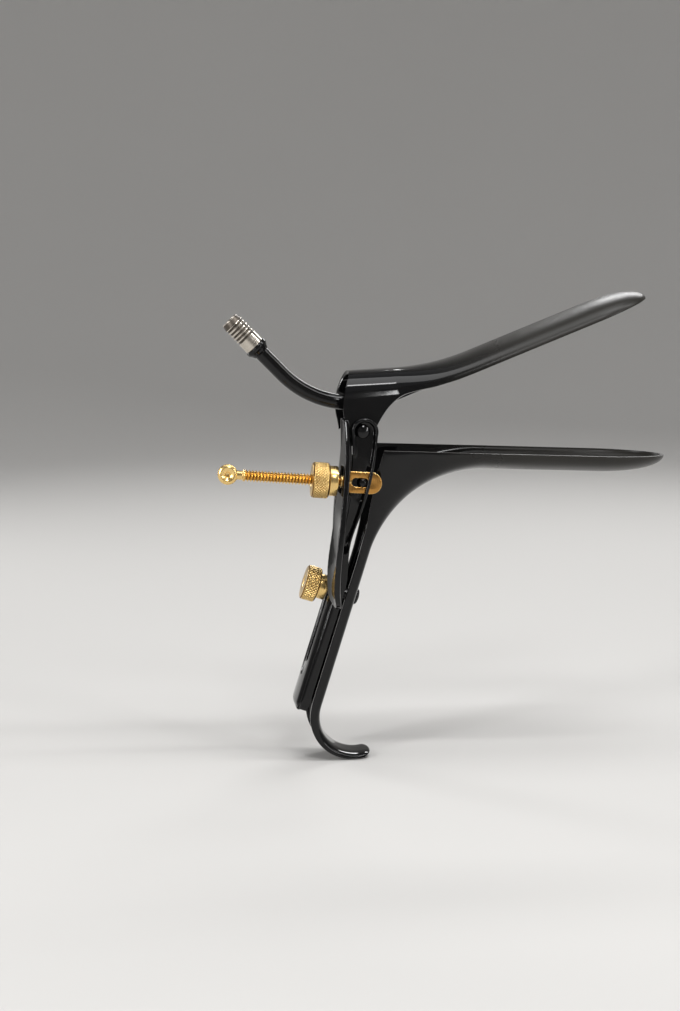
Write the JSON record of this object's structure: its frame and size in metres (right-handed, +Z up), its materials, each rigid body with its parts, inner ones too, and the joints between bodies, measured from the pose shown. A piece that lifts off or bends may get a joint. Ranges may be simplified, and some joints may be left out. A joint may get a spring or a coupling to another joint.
{
  "type": "speculum",
  "caption": "Bivalve speculum: two trough blades, hinged yoke sliding on a hooked handle, thumb lever with threaded stop rod, and an air tube with hose nipple.",
  "frame": {"origin": "middle of the hinge axis between the two ears of the upper blade", "axes": "+X along the lower blade towards its tip, +Y across towards the side without the lever, +Z up"},
  "size_m": [0.1662, 0.0494, 0.1737],
  "materials": {
    "gloss_black": "glossy",
    "gold": "polished",
    "nipple_steel": "turned"
  },
  "bodies": {
    "handle": {"lower_blade_handle": "gloss_black", "clamp_stud": "gloss_black"},
    "frame": {"yoke_frame": "gloss_black", "pivot_screw_near": "gloss_black", "pivot_screw_far": "gloss_black", "rod_eye_pin": "gloss_black"},
    "upper": {"upper_blade": "gloss_black", "thumb_lever": "gloss_black", "air_tube": "gloss_black", "tube_ring": "gloss_black", "hose_nipple": "nipple_steel"},
    "rod": {"threaded_rod": "gold"},
    "rod_collar": {"nut_collar": "gold"},
    "rod_nut": {"rod_nut": "gold"},
    "clamp": {"clamp_collar": "gold", "clamp_knob": "gold"}
  },
  "joints": [
    {"name": "frame_slide", "type": "slide", "parent": "handle", "child": "frame", "axis": [0.2974, 0, 0.9548], "range_m": [0, 0.024]},
    {"name": "blade_hinge", "type": "hinge", "parent": "frame", "child": "upper", "pos_m": [0, 0, 0], "axis": [0, 1, 0], "range_deg": [0, 28]},
    {"name": "rod_swing", "type": "hinge", "parent": "frame", "child": "rod", "pos_m": [-0.0002, -0.0192, -0.0183], "axis": [0, 1, 0], "range_deg": [0, 18.6]},
    {"name": "nut_slide", "type": "slide", "parent": "rod", "child": "rod_collar", "axis": [-0.9973, 0, 0.0732], "range_m": [0, 0.0096]},
    {"name": "nut_spin", "type": "hinge", "parent": "rod_collar", "child": "rod_nut", "pos_m": [-0.01227, -0.0192, -0.01741], "axis": [-0.9973, 0, 0.0732], "range_deg": [0, 3060]},
    {"name": "clamp_spin", "type": "hinge", "parent": "handle", "child": "clamp", "pos_m": [-0.01784, 0, -0.05729], "axis": [-0.9548, 0, 0.2974], "continuous": true}
  ],
  "couplings": [
    {"joint": "rod_swing", "follows": "blade_hinge", "ratio": 0.66},
    {"joint": "nut_slide", "follows": "blade_hinge", "m_per_rad": 0.0196},
    {"joint": "nut_spin", "follows": "blade_hinge", "ratio": 107.09}
  ]
}
